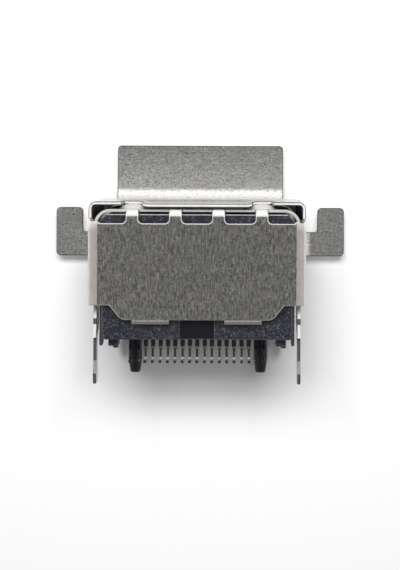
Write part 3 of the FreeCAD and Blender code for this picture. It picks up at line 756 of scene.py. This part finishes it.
@dataclass
class Mouldings:
    """The two dark moulded pieces: housing and tail spacer."""

    rounding: EdgeRounding = EdgeRounding(width=0.06)
    recess_half_width: float = 1.2 * MM
    recess_reach: float = 0.6 * MM
    recess_top: float = 3.6 * MM
    top_rim: Zone = Zone(10.34, 10.429)

    def build(self) -> None:
        """Shape and dress both mouldings."""
        speckled = MOULDED.build()
        # The smoother plastic is darkened with painted shade; the housing and the spacer's recess take
        # it.
        smooth = MOULDED_SMOOTH_SHADED.build()
        # Painted highlight: lighter, glossier plastic on the broken edges.
        rim_highlight = MOULDED_RIM_HIGHLIGHT.build()
        housing = refined("housing", "moulded_housing", self.rounding, Coat(smooth, smooth, rim_highlight))
        seat(housing, "housing_plastic", "housing")
        # Painted highlight: pale grey along the spacer's top rim.
        top_highlight = ((self.top_rim, MOULDED_TOP_HIGHLIGHT.build()),)
        spacer = refined("tail_spacer", "moulded_spacer", self.rounding,
                         Coat(speckled, smooth, rim_highlight, zones=top_highlight))
        self.shaded_recess(spacer)
        seat(spacer, "spacer_plastic", "tail_spacer")

    def shaded_recess(self, spacer: bpy.types.Object) -> None:
        """Give the shallow recess of the rear face its smoother finish, darkened with painted shade.

        Args:
            spacer: The spacer's piece.
        """
        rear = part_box("tail_spacer")[0].y
        for polygon in spacer.data.polygons:
            centre = polygon.center
            inside = abs(centre.x) < self.recess_half_width and centre.z < self.recess_top
            if inside and centre.y < rear + self.recess_reach:
                polygon.material_index = Layer.SECOND


def rounded_line(corners: Sequence[tuple[float, float]], radii: Sequence[float],
                 steps: int) -> list[tuple[Vector, Vector]]:
    """Places and directions along a line whose inner corners are rounded.

    Args:
        corners: The line's corners, as (y, z).
        radii: A radius for each inner corner.
        steps: Steps in each rounded corner.

    Returns:
        A list of (place, direction) pairs.
    """
    points = [Vector(corner) for corner in corners]
    first = (points[1] - points[0]).normalized()
    stations = [(points[0], first)]
    for before, point, after, radius in zip(points, points[1:], points[2:], radii):
        into = (point - before).normalized()
        out = (after - point).normalized()
        turn = into.angle_signed(out)
        run = radius * math.tan(abs(turn) / 2)
        side = math.copysign(1.0, into.cross(out))
        start = point - into * run
        centre = start + Vector((-into.y, into.x)) * radius * side
        for step in range(steps + 1):
            angle = abs(turn) * step / steps * side
            swing = Matrix.Rotation(angle, 2)
            stations.append((centre + swing @ (start - centre), swing @ into))
    last = (points[-1] - points[-2]).normalized()
    stations.append((points[-1], last))
    return stations


# Inputs of the node tree that makes a row of contacts.
ROW_INPUTS = {
    "Strip": "NodeSocketGeometry",
    "Count": "NodeSocketInt",
    "Pitch": "NodeSocketFloat",
    "Spread": "NodeSocketFloat",
    "Fan bottom": "NodeSocketFloat",
    "Fan top": "NodeSocketFloat",
    "Wander": "NodeSocketFloat",
    "Seed": "NodeSocketInt",
    "Finish": "NodeSocketMaterial",
}


@dataclass
class ContactRow:
    """One row of contacts, from the tongue down to the feet on the board.

    The strip's section is a flat bar with broken corners. A node tree repeats it, fans the
    tails out to the board's wider pitch and lets each stray a little from its place.
    """

    row: Row
    count: int
    finish: bpy.types.Material
    zones: Zones
    pitch: float = 1.0 * MM
    tongue_pitch: float = 0.5 * MM
    count_each_side: int = 9
    sheet: float = 0.2 * MM
    chamfer: float = 0.03 * MM
    strip_width: float = 0.3 * MM
    tail_width: float = 0.28 * MM
    neck_width: float = 0.15 * MM
    foot_width: float = 0.2 * MM
    riser_depth: float = 1.9 * MM
    jog_run: float = 0.3 * MM
    jog_top: float = 1.1 * MM
    jog_drop: float = 0.14 * MM
    top_bend: float = 0.25 * MM
    jog_bend: float = 0.14 * MM
    foot_bend: float = 0.2 * MM
    fan_bottom: float = 3.1 * MM
    fan_top: float = 5.6 * MM
    wander: float = 0.012 * MM
    seed: int = 7
    bend_steps: int = 6
    smooth_degrees: float = 32.0

    def nodes(self) -> list[str]:
        """Names of the nodes in this row."""
        return [f"contact_{self.row.value + 2 * index:02d}" for index in range(self.count)]

    def tail_pitch(self) -> float:
        """Pitch of the tails at the board, from the outermost contact of the upper row."""
        reach = -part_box("contact_01")[0].x - self.tail_width / 2
        return reach / self.count_each_side

    def side_line(self) -> list[tuple[Vector, Vector]]:
        """Middle line of the strip seen from the side, from tip to foot.

        Returns:
            Places and directions, as (y, z).
        """
        low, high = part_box(self.nodes()[0])
        half = self.sheet / 2
        top = high.z - half
        riser = -self.riser_depth + half
        jog = riser - self.jog_run
        corners = [(high.y, top), (riser, top), (riser, self.jog_top - half),
                   (jog, self.jog_top - self.jog_drop - half), (jog, half), (low.y, half)]
        radii = [self.top_bend, self.jog_bend, self.jog_bend, self.foot_bend]
        return rounded_line(corners, radii, self.bend_steps)

    def half_width(self, place: Vector) -> float:
        """Half the strip's width at a place on its side line.

        Args:
            place: The place, as (y, z).

        Returns:
            Half the width there.
        """
        if place.y > self.fan_top:
            return self.strip_width / 2
        if place.y > self.jog_top - self.jog_drop:
            return self.tail_width / 2
        if place.y > self.sheet + self.foot_bend / 2:
            return self.neck_width / 2
        return self.foot_width / 2

    def section(self, place: Vector, way: Vector, half: float) -> list[Vector]:
        """Corners of the strip's section at one place.

        Args:
            place: Middle of the section, as (y, z).
            way: Direction of the strip there.
            half: Half its width.

        Returns:
            Eight points in space.
        """
        thick = self.sheet / 2
        cut = self.chamfer
        flat = [(half - cut, -thick), (half, cut - thick), (half, thick - cut), (half - cut, thick),
                (cut - half, thick), (-half, thick - cut), (-half, cut - thick), (cut - half, -thick)]
        across = Vector((-way.y, way.x))
        return [Vector((x, place.x + across.x * n, place.y + across.y * n)) for x, n in flat]

    def strip_mesh(self) -> bpy.types.Mesh:
        """One strip at the middle of the row.

        Returns:
            Its mesh.
        """
        work = bmesh.new()
        rings = []
        previous = None
        for place, way in self.side_line():
            half = self.half_width(place)
            if previous is not None and previous != half:
                rings.append([work.verts.new(point) for point in self.section(place, way, previous)])
            rings.append([work.verts.new(point) for point in self.section(place, way, half)])
            previous = half
        for ring, following in zip(rings, rings[1:]):
            for index in range(len(ring)):
                after = (index + 1) % len(ring)
                work.faces.new((ring[index], ring[after], following[after], following[index]))
        work.faces.new(rings[0][::-1])
        work.faces.new(rings[-1])
        bmesh.ops.remove_doubles(work, verts=work.verts, dist=SAME_POINT * MM)
        bmesh.ops.recalc_face_normals(work, faces=work.faces)
        mesh = bpy.data.meshes.new(f"{self.row.name.lower()}_strip")
        work.to_mesh(mesh)
        work.free()
        return mesh

    @staticmethod
    def repeated(graph: Graph, given: Any, start: Any) -> bpy.types.NodeSocket:
        """Repeat the strip along a straight row.

        Args:
            graph: The row's graph.
            given: The row's inputs.
            start: Socket of the first strip's place.

        Returns:
            The strips' geometry.
        """
        begin = graph.node("ShaderNodeCombineXYZ", {0: start}).outputs[0]
        step = graph.node("ShaderNodeCombineXYZ", {0: given["Pitch"]}).outputs[0]
        line = graph.node("GeometryNodeMeshLine", {
            "Count": given["Count"], "Start Location": begin, "Offset": step})
        placed = graph.node("GeometryNodeInstanceOnPoints", {
            "Points": line.outputs[0], "Instance": given["Strip"]})
        return graph.node("GeometryNodeRealizeInstances", {0: placed.outputs[0]}).outputs[0]

    @staticmethod
    def fan(graph: Graph, given: Any, start: Any) -> bpy.types.NodeSocket:
        """How far each point moves sideways, more and more towards the board.

        Args:
            graph: The row's graph.
            given: The row's inputs.
            start: Socket of the first strip's place.

        Returns:
            The movement's socket.
        """
        position = graph.node("GeometryNodeInputPosition").outputs[0]
        split = graph.node("ShaderNodeSeparateXYZ", {0: position}).outputs
        from_start = graph.maths("SUBTRACT", split[0], start)
        number = graph.maths("ROUND", graph.maths("DIVIDE", from_start, given["Pitch"]))
        centre = graph.maths("ADD", graph.maths("MULTIPLY", number, given["Pitch"]), start)
        share = graph.ramp(split[2], given["Fan top"], given["Fan bottom"], 0.0, 1.0)
        chance = graph.node("FunctionNodeRandomValue", data_type="FLOAT")
        inputs = {socket.name: socket for socket in chance.inputs if socket.enabled}
        drawn = next(socket for socket in chance.outputs if socket.enabled)
        for name, value in {"Min": -1.0, "Max": 1.0, "ID": number, "Seed": given["Seed"]}.items():
            graph.feed(inputs[name], value)
        stray = graph.maths("MULTIPLY", drawn, given["Wander"])
        spread = graph.maths("ADD", graph.maths("MULTIPLY", centre, given["Spread"]), stray)
        moved = graph.node("ShaderNodeCombineXYZ", {0: graph.maths("MULTIPLY", spread, share)})
        return moved.outputs[0]

    def tree(self) -> tuple[bpy.types.NodeTree, dict[str, str]]:
        """Node tree that repeats the strip and fans its tails out.

        Returns:
            The tree and its inputs' identifiers by name.
        """
        tree = bpy.data.node_groups.new(f"{self.row.name.lower()}_row", "GeometryNodeTree")
        sockets = {name: tree.interface.new_socket(name=name, in_out="INPUT", socket_type=kind)
                   for name, kind in ROW_INPUTS.items()}
        tree.interface.new_socket(name="Row", in_out="OUTPUT", socket_type="NodeSocketGeometry")
        graph = Graph(tree)
        given = graph.node("NodeGroupInput").outputs
        spans = graph.maths("SUBTRACT", given["Count"], 1.0)
        start = graph.maths("MULTIPLY", graph.maths("MULTIPLY", spans, given["Pitch"]), -0.5)
        moved = graph.node("GeometryNodeSetPosition", {
            "Geometry": self.repeated(graph, given, start),
            "Offset": self.fan(graph, given, start),
        })
        dressed = graph.node("GeometryNodeSetMaterial", {
            "Geometry": moved.outputs[0], "Material": given["Finish"]})
        graph.node("NodeGroupOutput", {"Row": dressed.outputs[0]})
        return tree, {name: socket.identifier for name, socket in sockets.items()}

    def build(self) -> None:
        """Shape and dress the row."""
        piece = add_object(f"{self.row.name.lower()}_contacts", self.strip_mesh())
        tree, identifiers = self.tree()
        modifier = piece.modifiers.new("row", "NODES")
        modifier.node_group = tree
        values = {"Count": self.count, "Pitch": self.pitch,
                  "Spread": self.tail_pitch() / self.tongue_pitch - 1.0,
                  "Fan bottom": self.fan_bottom, "Fan top": self.fan_top,
                  "Wander": self.wander, "Seed": self.seed + self.row.value, "Finish": self.finish}
        for name, value in values.items():
            modifier[identifiers[name]] = value
        shaped = evaluated_mesh(piece)
        piece.modifiers.clear()
        piece.data = shaped
        for polygon in shaped.polygons:
            polygon.use_smooth = True
        shaped.set_sharp_from_angle(angle=math.radians(self.smooth_degrees))
        paint(shaped, self.zones, MM)
        seat(piece, "contact_metal", *self.nodes())


@dataclass
class Contacts:
    """Both rows of contacts: plated on the tongue; down to the board the tails are near black with
    painted shade, and the jogs and feet carry painted highlights.
    """

    upper_count: int = 10
    lower_count: int = 9
    jogs: Zone = Zone(0.88, 1.06, inside=3.9)
    feet: Zone = Zone(0.19, 0.33, inside=3.9)
    outer_tails: Zone = Zone(-1.0, 5.6, outside=3.9)
    tails: Zone = Zone(-1.0, 5.6)

    def build(self) -> None:
        """Shape and dress both rows."""
        plated = PLATED.build()
        zones = ((self.jogs, TAIL_JOG_HIGHLIGHT.build()), (self.feet, TAIL_FOOT_HIGHLIGHT.build()),
                 (self.outer_tails, TAIL_SHADED.build()), (self.tails, TAIL_IN_SHADE.build()))
        ContactRow(Row.UPPER, self.upper_count, plated, zones).build()
        ContactRow(Row.LOWER, self.lower_count, plated, zones).build()


@dataclass
class Studio:
    """Camera, floor and surroundings at the photograph's angle.

    In the photograph the socket stands on its mouth and the camera looks down at its back,
    so the pale floor is upright here, just clear of the mouth. The camera's distance is
    counted from the flap. Metal mirrors a sky that is dim in a patch round the camera and
    goes from below to beside to above, and on the mouth's side from beyond_low to beyond.
    Matt faces get a plain one. Each range says where a change starts and ends, counted in
    the direction's height or depth from -1 to 1; patch_rim is the square of the patch's
    reach.
    """

    distance: float = 100.0 * MM
    flap: float = -4.5 * MM
    eye_right: float = 2.386 * MM
    eye_height: float = 14.24 * MM
    focal_pixels: float = 1450.0
    axis_pixels: tuple[float, float] = (231.8, 159.7)
    roll: float = 0.23
    sensor: float = 36.0
    floor_reach: float = 1.5
    floor_gap: float = 0.05 * MM
    floor_colour: Colour = (0.88, 0.88, 0.885)
    floor_lift: float = 0.005
    patch: float = 0.2
    patch_half_width: float = 0.36
    patch_half_height: float = 0.65
    patch_rim: Range = (0.6, 1.4)
    below: float = 0.4
    beside: float = 1.1
    above: float = 1.3
    low_range: Range = (-0.5, 0.0)
    high_range: Range = (0.1, 0.6)
    beyond_low: float = 0.7
    beyond: float = 1.0
    beyond_range: Range = (-0.1, 0.25)
    mouth_side: Range = (-0.1, 0.3)
    plain: float = 0.1
    plain_beyond: float = 0.8
    plain_range: Range = (-0.1, 0.1)
    clip: Range = (0.005, 20.0)
    lamp_place: Place = (-0.004, -0.155, 0.080)
    lamp_size: tuple[float, float] = (0.13, 0.05)
    lamp_power: float = 0.35
    fill_size: float = 0.03
    fill_power: float = 0.027

    def build(self) -> None:
        """Set the stage up."""
        self.camera()
        self.sky()
        self.floor()
        self.lamp("soft_lamp", Vector(self.lamp_place), self.lamp_size, self.lamp_power)
        self.lamp("fill_lamp", self.eye(), (self.fill_size, self.fill_size), self.fill_power)

    def eye(self) -> Vector:
        """Where the camera stands."""
        return Vector((self.eye_right, self.flap - self.distance, self.eye_height))

    def camera(self) -> None:
        """Place the camera where the photograph was taken from."""
        data = bpy.data.cameras.new("camera")
        data.sensor_width = self.sensor
        data.lens = self.sensor * self.focal_pixels / max(IMAGE_SIZE)
        data.clip_start, data.clip_end = self.clip
        camera = add_object("camera", data)
        data.shift_x = (IMAGE_SIZE[0] / 2 - self.axis_pixels[0]) / max(IMAGE_SIZE)
        data.shift_y = (self.axis_pixels[1] - IMAGE_SIZE[1] / 2) / max(IMAGE_SIZE)
        camera.location = self.eye()
        camera.rotation_mode = "QUATERNION"
        level = Vector((0.0, 1.0, 0.0)).to_track_quat("-Z", "Z")
        camera.rotation_quaternion = Quaternion((0.0, 1.0, 0.0), math.radians(-self.roll)) @ level
        bpy.context.scene.camera = camera

    def sky(self) -> None:
        """Soft surroundings: dim round the camera, bright overhead, plain white to the eye."""
        world = bpy.data.worlds.new("surroundings")
        bpy.context.scene.world = world
        world.use_nodes = True
        graph = Graph(world.node_tree)
        way = graph.node("ShaderNodeTexCoord").outputs["Generated"]
        axes = graph.node("ShaderNodeSeparateXYZ", {0: way}).outputs
        low = graph.ramp(axes[2], *self.low_range, self.below, self.beside)
        high = graph.ramp(axes[2], *self.high_range, 0.0, self.above - self.beside)
        height = graph.maths("ADD", low, high)
        across = graph.maths("POWER", graph.maths("DIVIDE", axes[0], self.patch_half_width), 2.0)
        upright = graph.maths("POWER", graph.maths("DIVIDE", axes[2], self.patch_half_height), 2.0)
        near_eye = graph.ramp(graph.maths("ADD", across, upright), *self.patch_rim, 1.0, 0.0)
        ring = graph.mix(near_eye, height, self.patch)
        far_side = graph.ramp(axes[1], *self.mouth_side, 0.0, 1.0)
        far = graph.ramp(axes[2], *self.beyond_range, self.beyond_low, self.beyond)
        mirrored = graph.mix(far_side, ring, far)
        path = graph.node("ShaderNodeLightPath").outputs
        scattered = graph.ramp(axes[1], *self.plain_range, self.plain, self.plain_beyond)
        light = graph.mix(path["Is Diffuse Ray"], mirrored, scattered)
        strength = graph.mix(path["Is Camera Ray"], light, 1.0)
        white = opaque((1.0, 1.0, 1.0))
        sky = graph.node("ShaderNodeBackground", {"Color": white, "Strength": strength})
        graph.node("ShaderNodeOutputWorld", {"Surface": sky.outputs[0]})

    def floor(self) -> None:
        """Plain pale floor just clear of the mouth; from behind it lets the eye through."""
        reach = self.floor_reach
        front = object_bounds()[1].y + self.floor_gap
        mesh = bpy.data.meshes.new("floor")
        corners = [(-reach, front, -reach), (reach, front, -reach), (reach, front, reach),
                   (-reach, front, reach)]
        mesh.from_pydata(corners, [], [(0, 1, 2, 3)])
        material = bpy.data.materials.new("floor_pale")
        material.use_nodes = True
        graph = Graph(material.node_tree)
        matt = graph.node("ShaderNodeBsdfDiffuse", {"Color": opaque(self.floor_colour)})
        lift = graph.node("ShaderNodeEmission", {"Strength": self.floor_lift})
        pale = graph.node("ShaderNodeAddShader", {0: matt.outputs[0], 1: lift.outputs[0]}).outputs[0]
        seen = graph.node("ShaderNodeLightPath").outputs["Is Camera Ray"]
        behind = graph.node("ShaderNodeNewGeometry").outputs["Backfacing"]
        shown = graph.maths("MULTIPLY", seen, graph.maths("SUBTRACT", 1.0, behind))
        clear = graph.node("ShaderNodeBsdfTransparent")
        either = graph.node("ShaderNodeMixShader", {0: shown, 1: clear.outputs[0], 2: pale})
        graph.node("ShaderNodeOutputMaterial", {"Surface": either.outputs[0]})
        mesh.materials.append(material)
        add_object("floor", mesh)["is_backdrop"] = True

    def lamp(self, name: str, place: Vector, size: tuple[float, float], power: float) -> None:
        """Add a soft lamp that faces the object; metal shows the surroundings alone.

        Args:
            name: The lamp's name.
            place: Where it stands.
            size: Its width and height.
            power: Its power in watts.
        """
        data = bpy.data.lights.new(name, "AREA")
        data.shape = "RECTANGLE"
        data.size, data.size_y = size
        data.energy = power
        lamp = add_object(name, data)
        low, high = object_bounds()
        lamp.location = place
        lamp.visible_glossy = False
        lamp.rotation_mode = "QUATERNION"
        lamp.rotation_quaternion = ((low + high) / 2 - place).to_track_quat("-Z", "Y")


def main() -> None:
    """Dress the socket and set the stage."""
    logging.basicConfig(level=logging.INFO, format="%(name)s: %(message)s")
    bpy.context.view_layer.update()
    bpy.context.scene.view_settings.view_transform = "Standard"
    Studio().build()
    FoldedShell().build()
    SaddleBracket().build()
    Mouldings().build()
    Contacts().build()


if __name__ == "__main__":
    main()
